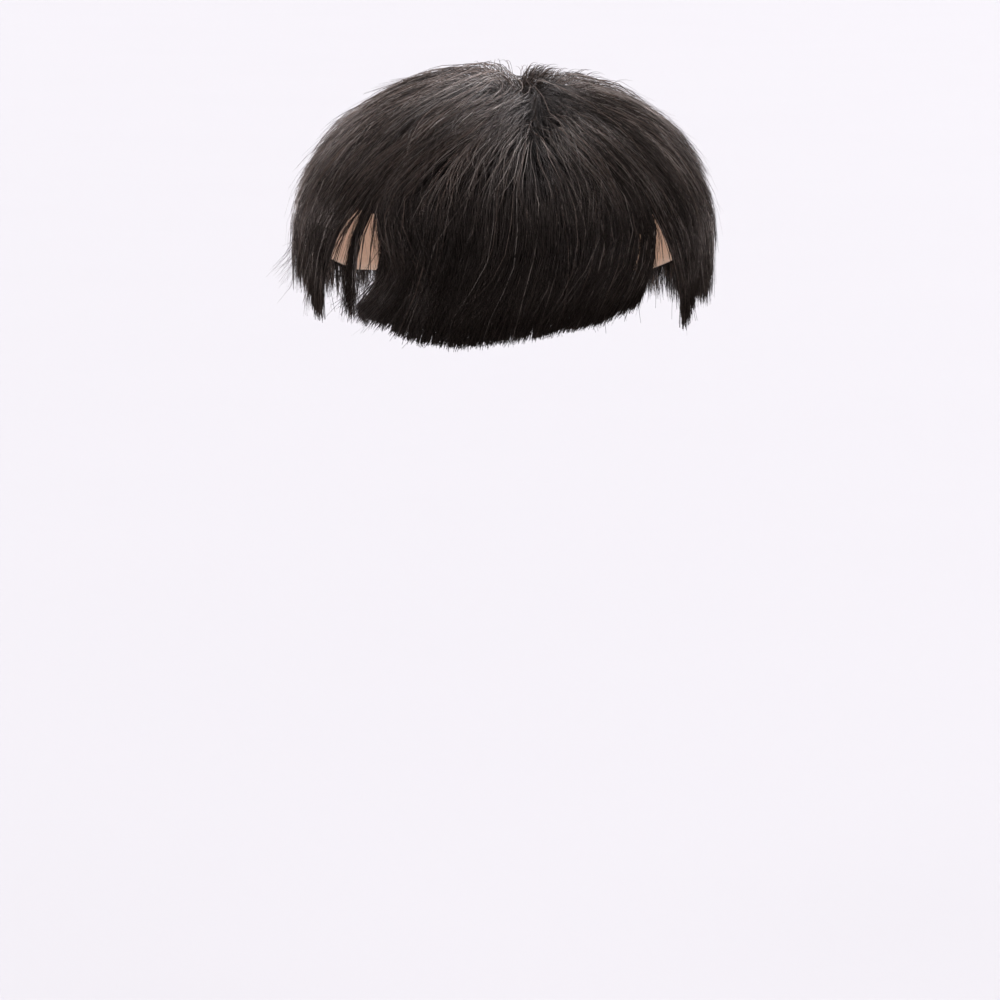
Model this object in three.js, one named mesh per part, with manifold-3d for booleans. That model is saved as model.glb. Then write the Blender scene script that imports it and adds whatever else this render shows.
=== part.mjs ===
// Short layered hairpiece with a fringe: a thin domed base, four falls of hair and the crown whorl over them.
// Units are mm, +Z is up, the face side is -Y. Left and right are the wearer's, so left is +X.
// The origin is on the inside of the base, at the top of its hollow.
import * as THREE from 'three';
import { ParametricGeometry } from 'three/addons/geometries/ParametricGeometry.js';
import { mergeVertices } from 'three/addons/utils/BufferGeometryUtils.js';
import Module from 'manifold-3d';

// The hollow is a half ellipsoid that goes on straight down below its widest level.
const HOLLOW_HALF_WIDTH = 71;
const HOLLOW_FRONT = 104;
const HOLLOW_BACK = 92;
const HOLLOW_HEIGHT = 52;

// A hair path runs from 0 at the whorl to 1 at the widest level; each further unit hangs this far down.
const FALL_PER_RUN = 80;
const WHORL_X = 10;
const WHORL_Y = 8;

const BASE_WALL = 1.2;
const BASE_SLICES = 36;
const BASE_ROWS = 8;

// Hair keeps clear of the base, of the next fall and of the crown hair by these gaps.
const BASE_GAP = 0.7;
const SEAM_GAP = 0.2;
const CROWN_GAP = 0.8;
const HAIR_FOOT = BASE_WALL + BASE_GAP;

// The crown hair is rooted in a plug this far out from the whorl, and the falls start just past it.
const PLUG_RUN = 0.1;
const FALL_START = 0.104;
const CROWN_COVER_RUN = 0.27;
const CROWN_SLICES = 20;
const CROWN_LOCKS = 16;
const CROWN_SWIRL = 20;
const WHORL_RING_RUN = 0.13;
const WHORL_RING_END = 0.4;

const COLUMN_ANGLE = 6;
const BACKING_ROWS = 9;
const LOCK_ROWS = 5;
const LOCK_OVERHANG = 9;
const EDGE_SHARE = 0.3;

// Lower edge of the base: depth below the origin at an azimuth either way from the front.
const RIM = [
  { azimuth: 0, depth: 41 },
  { azimuth: 42, depth: 37 },
  { azimuth: 90, depth: 52 },
  { azimuth: 135, depth: 70 },
  { azimuth: 180, depth: 77 },
];

// Lower edge of the hair's backing, with the two open temples at 28 to 47 degrees either way.
const BACKING_HEM = [
  { azimuth: -118, depth: 71 },
  { azimuth: -90, depth: 67 },
  { azimuth: -66, depth: 62 },
  { azimuth: -50, depth: 66 },
  { azimuth: -45, depth: 40 },
  { azimuth: -31, depth: 41 },
  { azimuth: -27, depth: 65 },
  { azimuth: -11, depth: 72 },
  { azimuth: 5, depth: 70 },
  { azimuth: 20, depth: 65 },
  { azimuth: 33, depth: 54 },
  { azimuth: 37, depth: 44 },
  { azimuth: 46, depth: 46 },
  { azimuth: 50, depth: 70 },
  { azimuth: 66, depth: 67 },
  { azimuth: 118, depth: 71 },
  { azimuth: 180, depth: 75 },
  { azimuth: 242, depth: 71 },
];

// Lift of the falls above the hollow along a hair path: the backing, and the crests of its locks.
const FALL_LIFT = [
  { run: 0, backing: 3, crest: 3.4 },
  { run: 0.3, backing: 3.8, crest: 4.8 },
  { run: 0.55, backing: 4.8, crest: 6.6 },
  { run: 0.8, backing: 5.4, crest: 8.8 },
  { run: 1, backing: 4.2, crest: 6.8 },
  { run: 1.2, backing: 3.4, crest: 6.0 },
  { run: 1.5, backing: 2.8, crest: 5.0 },
];

// Lift of the crown hair's outer face; the whorl itself is a hollow.
const CROWN_LIFT = [
  { run: 0, lift: 6.8 },
  { run: 0.06, lift: 8.6 },
  { run: 0.13, lift: 10.6 },
  { run: 0.3, lift: 11 },
  { run: 0.5, lift: 10.6 },
  { run: 0.75, lift: 10 },
];

// Humps and dips of the ring round the whorl, added at the ring's own run.
const WHORL_RING = [
  { azimuth: 0, rise: -3 },
  { azimuth: 40, rise: -1 },
  { azimuth: 90, rise: 0.4 },
  { azimuth: 140, rise: -0.6 },
  { azimuth: 180, rise: -3 },
  { azimuth: 250, rise: 0.6 },
  { azimuth: 305, rise: 0.9 },
  { azimuth: 345, rise: -3 },
  { azimuth: 360, rise: -3 },
];

// The four falls: their span, the span and count of their long low locks, the count of their high locks, and
// how far their locks sweep round.
const FALLS = [
  { name: 'fringe', from: -40, to: 40, lowFrom: -26, lowTo: 36, low: 11, high: 7, sweep: -3 },
  { name: 'side_hair_right', from: -118, to: -40, lowFrom: -118, lowTo: -52, low: 6, high: 4, sweep: 3 },
  { name: 'side_hair_left', from: 40, to: 118, lowFrom: 52, lowTo: 118, low: 6, high: 4, sweep: -3 },
  { name: 'back_hair', from: 118, to: 242, lowFrom: 118, lowTo: 242, low: 9, high: 6, sweep: 2 },
];

// Single locks that stand at the open temples.
const TEMPLE_LOCKS = [
  { fall: 'fringe', azimuth: -35.5, halfWidth: 1.4, depth: 74 },
  { fall: 'side_hair_right', azimuth: -48.2, halfWidth: 3.6, depth: 77 },
  { fall: 'side_hair_left', azimuth: 48.8, halfWidth: 3.2, depth: 80 },
];

// Small upright tuft beside the whorl: spikes with foot place, half widths, height and sideways lean.
const TUFT_FOOT = 6.2;
const TUFT = [
  { x: 9.5, y: 12, halfWidth: 3.4, halfDepth: 2.6, height: 6.4, lean: -1 },
  { x: 13.5, y: 13, halfWidth: 4, halfDepth: 2.8, height: 7, lean: 0.5 },
  { x: 18, y: 12, halfWidth: 3.6, halfDepth: 2.4, height: 6, lean: 2.5 },
];

const wasm = await Module();
wasm.setup();

const radians = THREE.MathUtils.degToRad;
const mix = THREE.MathUtils.lerp;

// Value of a named column at a place in a table, straight between its rows.
function lookUp(table, key, column, at) {
  const next = table.findIndex((row) => row[key] > at);
  if (next === 0) {
    return table[0][column];
  }
  if (next < 0) {
    return table[table.length - 1][column];
  }
  const low = table[next - 1];
  const high = table[next];
  return mix(low[column], high[column], (at - low[key]) / (high[key] - low[key]));
}

// Steady variation from lock to lock, between -1 and 1.
function vary(index, turn) {
  return Math.sin(index * 2.4 + turn * 1.7);
}

// How far out the widest level is at an azimuth.
function hollowReach(azimuth) {
  const length = Math.cos(azimuth) > 0 ? HOLLOW_FRONT : HOLLOW_BACK;
  return 1 / Math.hypot(Math.sin(azimuth) / HOLLOW_HALF_WIDTH, Math.cos(azimuth) / length);
}

// Point at an azimuth in degrees, a run along the hair path and a lift off the hollow.
function hairPoint(degrees, run, lift) {
  const azimuth = radians(degrees);
  const out = Math.sin(Math.min(run, 1) * Math.PI / 2);
  const reach = hollowReach(azimuth) * out;
  const x = WHORL_X * (1 - out) + reach * Math.sin(azimuth);
  const y = WHORL_Y * (1 - out) - reach * Math.cos(azimuth);
  const length = y < 0 ? HOLLOW_FRONT : HOLLOW_BACK;
  const level = Math.sqrt(Math.max(1 - (x / HOLLOW_HALF_WIDTH) ** 2 - (y / length) ** 2, 0));
  const normal = new THREE.Vector3(x / HOLLOW_HALF_WIDTH ** 2, y / length ** 2, level / HOLLOW_HEIGHT);
  const fall = Math.max(run - 1, 0) * FALL_PER_RUN;
  const z = HOLLOW_HEIGHT * (level - 1) - fall;
  return new THREE.Vector3(x, y, z).addScaledVector(normal.normalize(), lift);
}

// Run along the hair path at a depth below the origin.
function runAtDepth(depth) {
  if (depth > HOLLOW_HEIGHT) {
    return 1 + (depth - HOLLOW_HEIGHT) / FALL_PER_RUN;
  }
  return Math.acos(1 - depth / HOLLOW_HEIGHT) / (Math.PI / 2);
}

// Closed solid of a geometry, without the flat triangles at its poles and folded ends.
function toSolid(geometry) {
  const bare = new THREE.BufferGeometry();
  bare.setAttribute('position', geometry.getAttribute('position').clone());
  bare.setIndex(geometry.getIndex());
  const merged = mergeVertices(bare, 1e-4);
  const corners = merged.getIndex().array;
  const kept = [];
  for (let i = 0; i < corners.length; i += 3) {
    const [a, b, c] = [corners[i], corners[i + 1], corners[i + 2]];
    if (a !== b && b !== c && c !== a) {
      kept.push(a, b, c);
    }
  }
  const vertProperties = new Float32Array(merged.getAttribute('position').array);
  const mesh = new wasm.Mesh({ numProp: 3, vertProperties, triVerts: new Uint32Array(kept) });
  return new wasm.Manifold(mesh);
}

// Solid turned about the whorl; each profile goes from a point on the axis round to another.
function roundSolid(slices, stacks, profileAt) {
  const place = (u, v, target) => {
    const degrees = Math.round((1 - u) * slices) % slices * 360 / slices;
    const { run, lift } = profileAt(degrees, Math.round(v * stacks));
    target.copy(hairPoint(degrees, run, lift));
  };
  return toSolid(new ParametricGeometry(place, slices, stacks));
}

// Closed sheet: its outer face, its inner face, and ends folded to the middle of the wall.
function sheetSolid(columns, rows, placeAt) {
  const slices = 2 * (columns + 1);
  const stacks = rows + 2;
  const place = (u, v, target) => {
    const ring = Math.round((1 - u) * slices) % slices;
    const row = Math.round(v * stacks);
    const outer = ring <= columns;
    const across = outer ? ring / columns : (slices - 1 - ring) / columns;
    const along = THREE.MathUtils.clamp((row - 1) / rows, 0, 1);
    const folded = row === 0 || row === stacks;
    const depth = folded ? 0.5 : Number(outer);
    target.copy(placeAt(across, along, depth));
  };
  return toSolid(new ParametricGeometry(place, slices, stacks));
}

// The base: one wall, down its outer face and up its inner face.
function makeBase() {
  const last = 2 * BASE_ROWS + 1;
  return roundSolid(BASE_SLICES, last, (degrees, row) => {
    const rim = runAtDepth(lookUp(RIM, 'azimuth', 'depth', Math.min(degrees, 360 - degrees)));
    const outer = row <= BASE_ROWS;
    const share = (outer ? row : last - row) / BASE_ROWS;
    return { run: rim * share, lift: outer ? BASE_WALL : 0 };
  });
}

// Backing of one fall, from the crown plug to its hem; rows past a short hem gather on it.
function makeBacking({ from, to }) {
  const columns = Math.round((to - from) / COLUMN_ANGLE);
  const hemRun = (degrees) => runAtDepth(lookUp(BACKING_HEM, 'azimuth', 'depth', degrees));
  const angles = Array.from({ length: columns + 1 }, (_, i) => mix(from, to, i / columns));
  const longest = Math.max(...angles.map(hemRun));
  return sheetSolid(columns, BACKING_ROWS, (across, along, depth) => {
    const plain = mix(from, to, across);
    const run = Math.min(mix(FALL_START, longest, along), hemRun(plain));
    const inset = seamInset(plain, run);
    const top = lookUp(FALL_LIFT, 'run', 'backing', run);
    return hairPoint(mix(from + inset, to - inset, across), run, mix(HAIR_FOOT, top, depth));
  });
}

// Angle that keeps a fall's edge half a seam away from its neighbour.
function seamInset(degrees, run) {
  const reach = hollowReach(radians(degrees)) * Math.sin(Math.min(run, 1) * Math.PI / 2);
  return THREE.MathUtils.radToDeg(SEAM_GAP / reach);
}

// One lock: pointed at both ends, ridged along its middle, with sharp edges and a flat belly.
function makeLock({ azimuth, halfWidth, start, end, bend, footAt, crestAt, limits = [-360, 720] }) {
  const ring = [
    { side: -1, share: EDGE_SHARE },
    { side: 0, share: 0 },
    { side: 1, share: EDGE_SHARE },
    { side: 0, share: 1 },
  ];
  const place = (u, v, target) => {
    const { side, share } = ring[Math.round(u * ring.length) % ring.length];
    const along = Math.round(v * LOCK_ROWS) / LOCK_ROWS;
    const run = mix(start, end, along);
    const width = halfWidth * Math.min(1, 4 * along) * Math.sqrt(1 - along ** 3);
    const inset = seamInset(azimuth, run) + 0.1;
    const swept = azimuth + bend * along ** 2 + side * width;
    const degrees = THREE.MathUtils.clamp(swept, limits[0] + inset, limits[1] - inset);
    const full = Math.min(1, 4 * along, 4 * (1 - along));
    target.copy(hairPoint(degrees, run, mix(footAt(run), crestAt(run), share * full)));
  };
  return toSolid(new ParametricGeometry(place, ring.length, LOCK_ROWS));
}

// Long low locks that make the hem, shorter high locks over them, and the temple locks.
function fallLocks(fall) {
  const shared = {
    limits: [fall.from, fall.to],
    footAt: (run) => mix(HAIR_FOOT, lookUp(FALL_LIFT, 'run', 'backing', run), 0.55),
    crestAt: (run) => lookUp(FALL_LIFT, 'run', 'crest', run),
  };
  const locks = [];
  for (let i = 0; i < fall.low; i += 1) {
    const spacing = (fall.lowTo - fall.lowFrom) / fall.low;
    const azimuth = fall.lowFrom + spacing * (i + 0.5);
    const hem = lookUp(BACKING_HEM, 'azimuth', 'depth', azimuth) + LOCK_OVERHANG + 2 * vary(i, 1);
    const bend = fall.sweep + 1.5 * vary(i, 2);
    const start = 0.62 + 0.06 * vary(i, 3);
    locks.push({ ...shared, azimuth, halfWidth: 0.56 * spacing, start, end: runAtDepth(hem), bend });
  }
  for (let i = 0; i < fall.high; i += 1) {
    const spacing = (fall.to - fall.from) / fall.high;
    const azimuth = fall.from + spacing * (i + 0.5);
    const end = 0.98 + 0.07 * vary(i, 4);
    const bend = 1.6 * fall.sweep + 2 * vary(i, 5);
    locks.push({ ...shared, azimuth, halfWidth: 0.5 * spacing, start: 0.28 + 0.05 * vary(i, 6), end, bend });
  }
  for (const row of TEMPLE_LOCKS.filter((lock) => lock.fall === fall.name)) {
    locks.push({ ...shared, ...row, start: 0.6, end: runAtDepth(row.depth), bend: 0 });
  }
  return locks.map(makeLock);
}

// Pieces fused to one body, with the small pockets that are closed in between them filled.
function fuse(pieces) {
  const bodies = wasm.Manifold.union(pieces).decompose();
  return bodies.reduce((largest, body) => (body.volume() > largest.volume() ? body : largest));
}

function makeFall(fall) {
  return fuse([makeBacking(fall), ...fallLocks(fall)]);
}

// Outer lift of the crown hair, with the ring round the whorl fading out both ways.
function crownLift(degrees, run) {
  const inner = run / WHORL_RING_RUN;
  const outer = (WHORL_RING_END - run) / (WHORL_RING_END - WHORL_RING_RUN);
  const rise = lookUp(WHORL_RING, 'azimuth', 'rise', THREE.MathUtils.euclideanModulo(degrees, 360));
  return lookUp(CROWN_LIFT, 'run', 'lift', run) + rise * Math.max(0, Math.min(1, inner, outer));
}

// Underside of the crown hair: just over the crests of the falls.
function crownFoot(run) {
  return lookUp(FALL_LIFT, 'run', 'crest', run) + CROWN_GAP;
}

// The crown hair's middle: a cover over the starts of the falls, rooted through the plug.
function makeCrownCover() {
  const rows = [0, 0.03, 0.06, PLUG_RUN, 0.13, 0.2, CROWN_COVER_RUN];
  const under = [CROWN_COVER_RUN, 0.2, 0.13, PLUG_RUN];
  const plug = [PLUG_RUN, 0.05, 0];
  const stacks = rows.length + under.length + plug.length - 1;
  return roundSolid(CROWN_SLICES, stacks, (degrees, row) => {
    if (row < rows.length) {
      const thin = row === rows.length - 1 ? 1.6 : 0;
      return { run: rows[row], lift: crownLift(degrees, rows[row]) - thin };
    }
    if (row < rows.length + under.length) {
      const run = under[row - rows.length];
      return { run, lift: crownFoot(run) };
    }
    return { run: plug[row - rows.length - under.length], lift: HAIR_FOOT };
  });
}

// Locks that spread from the whorl with a swirl, long and short by turns.
function crownLocks() {
  const locks = [];
  for (let i = 0; i < CROWN_LOCKS; i += 1) {
    const azimuth = i * 360 / CROWN_LOCKS + 6 * vary(i, 1);
    const end = (i % 2 ? 0.58 : 0.72) + 0.05 * vary(i, 2);
    const bend = CROWN_SWIRL + 5 * vary(i, 3);
    const crestAt = (run) => crownLift(azimuth, run) + 0.4 * vary(i, 4);
    locks.push({ azimuth, halfWidth: 11, start: 0.08, end, bend, footAt: crownFoot, crestAt });
  }
  return locks.map(makeLock);
}

function makeTuft() {
  return TUFT.map(({ x, y, halfWidth, halfDepth, height, lean }) => {
    const spike = new THREE.ConeGeometry(1, height, 7);
    spike.rotateX(Math.PI / 2);
    spike.translate(0, 0, height / 2);
    const shape = new THREE.Matrix4().makeScale(halfWidth, halfDepth, 1);
    const shear = new THREE.Matrix4().makeShear(0, 0, 0, 0, lean / height, 0);
    spike.applyMatrix4(shape).applyMatrix4(shear);
    spike.translate(x, y, TUFT_FOOT);
    return toSolid(spike);
  });
}

function makeCrown() {
  return fuse([makeCrownCover(), ...crownLocks(), ...makeTuft()]);
}

const hairMaterial = new THREE.MeshStandardMaterial({ color: 0x1d1815, roughness: 0.45, metalness: 0 });
const baseMaterial = new THREE.MeshStandardMaterial({ color: 0xc9a587, roughness: 0.8, metalness: 0 });

function toNode(name, solid, material) {
  const made = solid.getMesh();
  const geometry = new THREE.BufferGeometry();
  geometry.setAttribute('position', new THREE.BufferAttribute(new Float32Array(made.vertProperties), 3));
  geometry.setIndex(new THREE.BufferAttribute(new Uint32Array(made.triVerts), 1));
  geometry.computeVertexNormals();
  const node = new THREE.Mesh(geometry, material);
  node.name = name;
  return node;
}

const hairpiece = new THREE.Group();
hairpiece.name = 'hairpiece';
hairpiece.add(toNode('base', makeBase(), baseMaterial));
for (const fall of FALLS) {
  hairpiece.add(toNode(fall.name, makeFall(fall), hairMaterial));
}
hairpiece.add(toNode('crown_hair', makeCrown(), hairMaterial));

export default hairpiece;
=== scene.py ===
"""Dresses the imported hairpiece: single strands over each fall of hair, a net base and a plain studio."""

import math
from typing import NamedTuple

import bmesh
import bpy
import numpy as np
from bpy.props import FloatProperty, FloatVectorProperty, IntProperty, PointerProperty
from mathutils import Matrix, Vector


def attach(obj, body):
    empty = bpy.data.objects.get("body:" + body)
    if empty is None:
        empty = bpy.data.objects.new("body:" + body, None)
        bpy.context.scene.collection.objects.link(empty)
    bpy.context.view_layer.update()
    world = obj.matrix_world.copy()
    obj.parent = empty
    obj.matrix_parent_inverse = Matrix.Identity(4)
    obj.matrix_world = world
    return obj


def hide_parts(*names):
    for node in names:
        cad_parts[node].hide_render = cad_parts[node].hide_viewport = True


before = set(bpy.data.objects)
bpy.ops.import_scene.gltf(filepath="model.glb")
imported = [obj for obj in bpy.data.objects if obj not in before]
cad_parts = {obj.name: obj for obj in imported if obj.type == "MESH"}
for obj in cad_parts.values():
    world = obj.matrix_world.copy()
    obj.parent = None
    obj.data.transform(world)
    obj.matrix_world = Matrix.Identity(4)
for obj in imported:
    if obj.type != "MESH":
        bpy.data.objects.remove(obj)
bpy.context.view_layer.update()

bl_info = {
    "name": "Hairpiece Looks",
    "version": (1, 0, 0),
    "blender": (4, 5, 0),
    "location": "View3D > Sidebar > Hairpiece",
    "description": "Grows the strands of a short layered hairpiece over its packed solids",
    "category": "Object",
}

MM = 0.001

# The hollow under the hair, in mm: a half ellipsoid that goes on straight down below its widest level.
HOLLOW_HALF_WIDTH = 71.0
HOLLOW_FRONT = 104.0
HOLLOW_BACK = 92.0
HOLLOW_HEIGHT = 52.0

# A hair path runs from 0 at the whorl to 1 at the widest level; each further unit hangs this far down.
FALL_PER_RUN = 80.0
WHORL_X = 10.0
WHORL_Y = 8.0

STRAND_SIDES = 3

# A strand's baked colours lie in one row of the map, by its tone, and fill this share of the row's height.
TONE_ROWS = 64
TONE_ROW_HEIGHT = 0.7


class RimRow(NamedTuple):
    """Depth of the base's edge at an azimuth either way from the front."""

    azimuth: float
    depth: float


class HemRow(NamedTuple):
    """Depth of the strands' ends at the azimuth where they hang."""

    azimuth: float
    depth: float


class LiftRow(NamedTuple):
    """Height of the hair's outer face over the hollow along a hair path."""

    run: float
    lift: float


class RingRow(NamedTuple):
    """Hump or dip of the ring round the whorl at an azimuth."""

    azimuth: float
    rise: float


class FlowRow(NamedTuple):
    """Azimuths that one line of hair passes on its way down, at the runs in FLOW_RUNS."""

    whorl: float
    crown: float
    top: float
    turn: float
    home: float
    brow: float
    rim: float
    hem: float


class Area(NamedTuple):
    """One piece of hair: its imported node, where its roots are, how many there are and how they gather."""

    piece: str
    node: str
    first: float
    last: float
    high_run: float
    low_run: float
    strands: int
    points: int
    width: float
    tip_width: float
    locks: int
    wisp_strands: int
    ragged: float
    pointed: float
    gather: float
    # Painted shade: these two levels darken the under layer and the long strands, partly the hair's own
    # darker under layer.
    shaded_lightness: float
    long_shaded_lightness: float
    seed: int


class PartingRow(NamedTuple):
    """The dip where the hair parts in front of the whorl: its middle, half widths and depth in mm."""

    azimuth: float
    run: float
    half_azimuth: float
    half_run: float
    depth: float


class FlickRow(NamedTuple):
    """Strands of a piece that end early and stand out: their line, roots, number and end, and mm outwards."""

    piece: str
    home: float
    spread: float
    root: float
    strands: int
    tip: float
    out: float


class LightRow(NamedTuple):
    """One soft light of the studio: the direction it shines from and its strength."""

    x: float
    y: float
    z: float
    strength: float


class TuftRow(NamedTuple):
    """One spike of the upright tuft by the whorl, in mm: its foot, spread, height and lean."""

    x: float
    y: float
    spread: float
    height: float
    lean_x: float
    lean_y: float
    strands: int


RIM = (RimRow(0, 41), RimRow(42, 37), RimRow(90, 52), RimRow(135, 70), RimRow(180, 77))

HEM = (
    HemRow(-180, 86), HemRow(-118, 79), HemRow(-90, 73), HemRow(-68, 69), HemRow(-56, 71), HemRow(-51, 76),
    HemRow(-49, 78), HemRow(-46, 70), HemRow(-38, 76), HemRow(-30, 75), HemRow(-22.5, 76.5), HemRow(-17, 79),
    HemRow(-8, 80.7), HemRow(0, 78.3), HemRow(8, 76), HemRow(13, 74.5), HemRow(21, 72.5), HemRow(26, 69),
    HemRow(30, 65), HemRow(34, 61), HemRow(40, 66), HemRow(45, 72), HemRow(48, 81), HemRow(50, 79),
    HemRow(53, 75), HemRow(58, 73), HemRow(66, 73), HemRow(90, 78), HemRow(118, 81), HemRow(180, 86),
)

LIFT = (
    LiftRow(0, 7), LiftRow(0.06, 8.8), LiftRow(0.13, 10.6), LiftRow(0.3, 11), LiftRow(0.5, 10.6),
    LiftRow(0.75, 9.6), LiftRow(1, 7.0), LiftRow(1.2, 6.0), LiftRow(1.5, 4.8),
)

RING = (
    RingRow(-180, -3), RingRow(-110, 1.4), RingRow(-55, 1.6), RingRow(-15, -3), RingRow(0, -3),
    RingRow(40, -1), RingRow(90, 0.4), RingRow(140, -0.6), RingRow(180, -3),
)
RING_RUN = 0.13
RING_END = 0.4

# Pairs of rows with almost one home are the edges of an opening at a temple.
FLOW_RUNS = (0.1, 0.3, 0.45, 0.6, 0.75, 0.9, 1.05, 1.25)
FLOW = (
    FlowRow(-180, -180, -180, -180, -180, -180, -180, -180),
    FlowRow(-120, -118, -118, -119, -120, -121, -122, -123),
    FlowRow(-86, -83, -85, -87, -90, -92, -94, -95),
    FlowRow(-55, -50, -52, -53.5, -57, -61, -64.5, -66),
    FlowRow(-40, -34, -36, -38, -42.3, -48.8, -54, -56.5),
    FlowRow(-32, -26, -29.5, -32, -37, -43.5, -50.5, -53),
    FlowRow(-22, -14, -20.5, -23.8, -28.6, -36, -47, -48.5),
    FlowRow(-21.9, -13.9, -20.3, -23.6, -28.48, -30.6, -33.6, -34.6),
    FlowRow(-20, -11.5, -17.8, -21.4, -26.6, -29.4, -32.6, -33.6),
    FlowRow(-19.6, -11, -17.3, -20.9, -26.1, -25.5, -17, -31.5),
    FlowRow(-8, 0, -7, -13.6, -19.2, -20.6, -16, -28),
    FlowRow(6, 9.5, -1.8, -7.6, -9.5, -10.2, -11.5, -17),
    FlowRow(8.5, 10.8, 2.2, -3.4, -4.3, -4.1, -5.2, -11),
    FlowRow(9.8, 11.6, 5.4, 1.4, 1.4, 1.9, 1.1, -4.5),
    FlowRow(11, 12.3, 7.6, 7.2, 9, 8.9, 8.5, 3.5),
    FlowRow(13, 13.8, 11.8, 13.9, 17.5, 18.4, 17.4, 11.5),
    FlowRow(16.5, 18, 18.9, 22.6, 27, 28.3, 26.3, 19.5),
    FlowRow(16.7, 18.2, 19.2, 22.9, 27.3, 28.6, 29, 21.5),
    FlowRow(18.5, 20, 22.5, 26.6, 31.4, 33.5, 32, 25),
    FlowRow(18.6, 20.1, 22.6, 26.7, 31.52, 34.5, 42, 46.5),
    FlowRow(21.5, 22.3, 28, 33, 38, 42, 47, 49.5),
    FlowRow(26, 25.5, 34, 39.5, 45.8, 51, 54, 55.5),
    FlowRow(40, 37, 52, 57, 60, 66, 69.5, 71),
    FlowRow(84, 80, 86, 88, 90, 91, 91, 91),
    FlowRow(120, 119, 119, 119.5, 120, 120, 120, 120),
    FlowRow(180, 180, 180, 180, 180, 180, 180, 180),
)

# Lines of hair at the middle of each opening; hair on one side of it does not gather towards the other.
OPENINGS = (-28.54, -26.35, 27.15, 31.46)
OPENING_HALF_WIDTH = 0.3
OPENING_STRAYS = 0.2
OPENING_EDGE_SPREAD = 0.5

# The under layer and the long strands are darker as painted shade, partly the hair's own darker under layer;
# the sides' higher lightness is partly painted light.
AREAS = (
    Area(
        piece="crown_strands", node="crown_hair",
        first=-180, last=180, high_run=0, low_run=0.3, strands=3600, points=9,
        width=1, tip_width=0.15, locks=90, wisp_strands=13, ragged=4,
        pointed=0.2, gather=0.3, shaded_lightness=1.1, long_shaded_lightness=0.4, seed=11,
    ),
    Area(
        piece="fringe_over_strands", node="fringe",
        first=-40, last=40, high_run=0.3, low_run=0.62, strands=4400, points=8,
        width=1, tip_width=0.2, locks=60, wisp_strands=12, ragged=1.6,
        pointed=0.2, gather=0.3, shaded_lightness=1, long_shaded_lightness=0.2, seed=12,
    ),
    Area(
        piece="fringe_under_strands", node="fringe",
        first=-40, last=40, high_run=0.56, low_run=2, strands=7200, points=5,
        width=1.9, tip_width=0.4, locks=40, wisp_strands=8, ragged=1,
        pointed=0, gather=0.1, shaded_lightness=0.4, long_shaded_lightness=0.2, seed=13,
    ),
    Area(
        piece="side_hair_right_strands", node="side_hair_right",
        first=-118, last=-40, high_run=0.3, low_run=2, strands=3100, points=7,
        width=1.15, tip_width=0.2, locks=50, wisp_strands=11, ragged=18,
        pointed=0.9, gather=0.6, shaded_lightness=1.3, long_shaded_lightness=1.1, seed=14,
    ),
    Area(
        piece="side_hair_left_strands", node="side_hair_left",
        first=40, last=118, high_run=0.3, low_run=2, strands=3100, points=7,
        width=1.15, tip_width=0.2, locks=50, wisp_strands=11, ragged=9,
        pointed=0.9, gather=0.6, shaded_lightness=1.3, long_shaded_lightness=1, seed=15,
    ),
    Area(
        piece="back_hair_strands", node="back_hair",
        first=118, last=242, high_run=0.3, low_run=2, strands=4500, points=7,
        width=1.25, tip_width=0.2, locks=66, wisp_strands=11, ragged=9,
        pointed=0.6, gather=0.6, shaded_lightness=0.8, long_shaded_lightness=0.6, seed=16,
    ),
)

PARTING = PartingRow(8.5, 0.385, 3.6, 0.07, 5.5)

# Where roots are: pairs of runs or azimuths give a soft change from the first to the second.
UPPER_ROOTS = (0.3, 0.62)
WHORL_ROOTS = 0.05
SHORT_ROOTS = 0.5
TEMPLE_ROOTS = (0.4, 0.8)
TEMPLE_FRONT = (17.0, 32.0)
TEMPLE_BACK = (60.0, 75.0)
RIM_MARGIN = 1.0

# How strands end: lengths in mm at the hem, and reaches as runs from root to tip.
END_SPREAD = 0.8
WISP_END_SHARE = (-0.1, 0.7)
TEMPLE_RAGGED = 6.0
TEMPLE_LAYERS = 7.0
POINTED_REACH = 8.0
LOCK_REACH = (0.46, 0.72)
WISP_REACH = (-0.1, 0.1)
REACH_SPREAD = 0.03
LOWER_REACH = 0.55
SHORT_REACH = (0.26, 0.42)
LEAST_REACH = 0.12
FLICK_END_SPREAD = 0.05
FLICK_SHARE = (0.3, 1.0)

# How strands bend to the side, in degrees. A value for lower hair is its share of what upper hair has.
GATHER_ALONG = ((0.0, 0.35, 1.0), (0.0, 0.75, 1.0))
LOWER_LOCK_PULL = 0.1
SWIRL_RUN = 0.16
LOCK_BEND = (-3.0, 3.0)
WISP_BEND = (-7.0, 7.0)
STRAND_BEND = 1.2
LOWER_BEND = 0.15
WISP_WAVE = (0.2, 0.9)
FRIZZ = 0.3
FRIZZ_WAVES = 1.5
FLYAWAY_STRAY = 7.0
TEMPLE_STRAY = 0.9
MOST_STACK_TURN = 9.0
LEAST_STACK_STEP = 0.3
STACK_FRONT = (10.0, 24.0)
STACK_BACK = (50.0, 68.0)

# How high strands lie: layers as shares of the hair's thickness, and heights in mm.
LOWEST_LAYER = 0.1
LAYER_POWER = 0.8
LEAST_LAYER = 0.05
LAYER_SPREAD = (-0.08, 0.08)
STRAND_LAYER_SPREAD = 0.035
SHORT_LAYER = 0.3
LAYER_LIMITS = (0.04, 1.1)
ROOT_RISE = (-0.02, 0.2)
SWELL_WAVES = (0.8, 1.7)
SWELL_HEIGHT = (0.3, 1.4)
LOWER_SWELL = 0.3
WISP_STAND = (-0.8, 1.8)
FLYAWAY_STAND = (0.6, 2.8)
LOWER_FLYAWAYS = 0.3
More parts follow.
